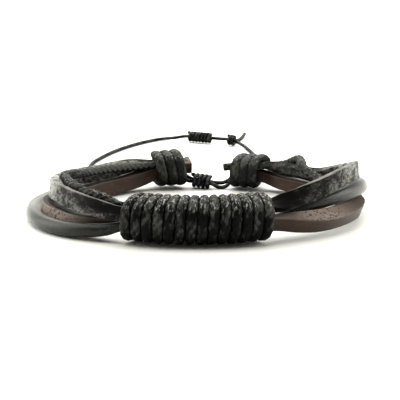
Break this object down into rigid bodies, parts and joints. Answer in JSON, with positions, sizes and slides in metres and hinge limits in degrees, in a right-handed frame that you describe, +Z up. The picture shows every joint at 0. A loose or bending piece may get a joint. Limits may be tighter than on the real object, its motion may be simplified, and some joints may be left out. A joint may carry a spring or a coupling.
{
  "type": "leather bracelet",
  "caption": "Slim adjustable bracelet of leather and waxed-cord strands, bound at the front and at both ends, closed by a sliding knot and a draw cord.",
  "frame": {"origin": "on the surface the bracelet lies on, under the middle of the closed loop", "axes": "+Z up from the surface, the wound front faces -Y, the closure and draw cord lie towards +Y, +X to the right as seen from the front"},
  "size_m": [0.0679, 0.134, 0.0118],
  "materials": {
    "worn_leather": "worn black, pale flecks",
    "brown_leather": "pitted brown, satin",
    "round_leather": "smooth black, semi-gloss",
    "waxed_cord": "waxed braid, satin"
  },
  "bodies": {
    "root": {"flat_strap": "worn_leather", "brown_lace": "brown_leather", "round_cord": "round_leather", "waxed_strand": "waxed_cord", "centre_wrap": "waxed_cord", "left_end_wrap": "waxed_cord", "right_end_wrap": "waxed_cord", "bridge_cord_low": "waxed_cord", "bridge_cord_high": "waxed_cord", "sliding_knot": "waxed_cord", "draw_cord": "waxed_cord", "barrel_knot": "waxed_cord", "end_knot": "waxed_cord", "cord_tail": "waxed_cord"}
  },
  "joints": []
}
